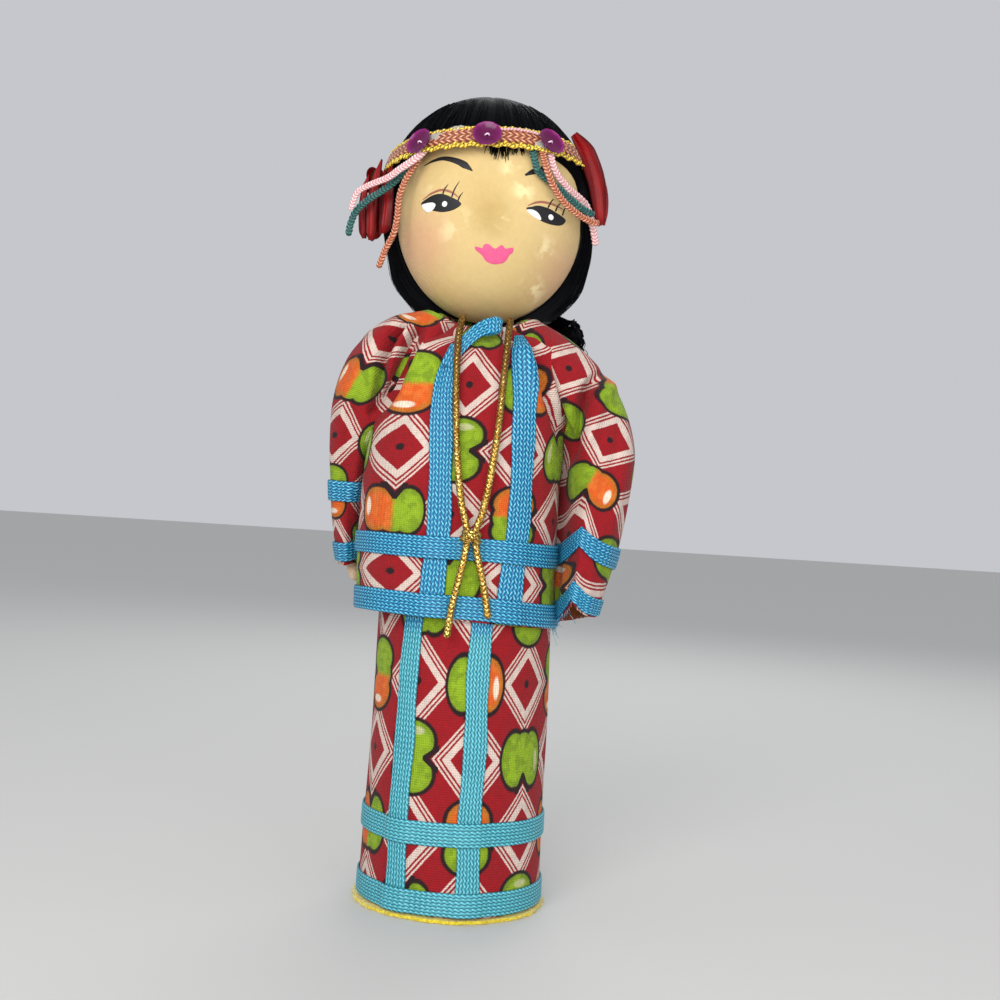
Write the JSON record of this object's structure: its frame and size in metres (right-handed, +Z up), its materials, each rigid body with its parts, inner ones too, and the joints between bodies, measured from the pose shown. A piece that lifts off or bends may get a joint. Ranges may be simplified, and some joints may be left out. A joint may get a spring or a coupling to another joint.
{
  "type": "cloth folk doll",
  "caption": "Standing cloth folk doll with a tube skirt, a gathered jacket with braid trim, a round painted head, black hair, and a headband with cords and ribbon flowers.",
  "frame": {"origin": "centre of the felt base's underside", "axes": "+Z up through the head, -Y the way the face looks, +X the doll's own left"},
  "size_m": [0.0772, 0.0548, 0.1999],
  "materials": {
    "printed_cotton": "plain-weave cotton, matt",
    "blue_braid": "flat woven braid, satin",
    "yellow_felt": "felt, matt",
    "tan_cloth": "fine satin twill, soft sheen",
    "black_hair": "glossy black fibre",
    "woven_trim": "copper braid with gold loops at its edges",
    "purple_sequin": "glossy, cupped",
    "gold_cord": "braided metallic thread",
    "red_satin": "satin ribbon",
    "pink_cord": "wound silky cord",
    "teal_cord": "wound silky cord",
    "copper_cord": "wound silky cord"
  },
  "bodies": {
    "root": {"felt_base": "yellow_felt", "skirt": "printed_cotton", "skirt_hem_band": "blue_braid", "skirt_upper_band": "blue_braid", "skirt_ribbon_right": "blue_braid", "skirt_ribbon_left": "blue_braid", "jacket_body": "printed_cotton", "jacket_hem_band": "blue_braid", "jacket_upper_band": "blue_braid", "jacket_ribbon_right": "blue_braid", "jacket_ribbon_left": "blue_braid", "left_sleeve": "printed_cotton", "right_sleeve": "printed_cotton", "left_cuff_band": "blue_braid", "left_sleeve_band": "blue_braid", "right_cuff_band": "blue_braid", "right_sleeve_band": "blue_braid", "right_hand": "tan_cloth", "neck_ribbon": "blue_braid", "head": "tan_cloth", "hair": "black_hair", "curls": "black_hair", "headband": "woven_trim", "sequin_right": "purple_sequin", "sequin_middle": "purple_sequin", "sequin_left": "purple_sequin", "pink_cord_right": "pink_cord", "teal_cord_right": "teal_cord", "copper_cord_right": "copper_cord", "pink_cord_left": "pink_cord", "teal_cord_left": "teal_cord", "copper_cord_left": "copper_cord", "right_flower": "red_satin", "left_flower": "red_satin", "gold_cord_right": "gold_cord", "gold_cord_left": "gold_cord", "gold_cord_knot": "gold_cord"}
  },
  "joints": []
}
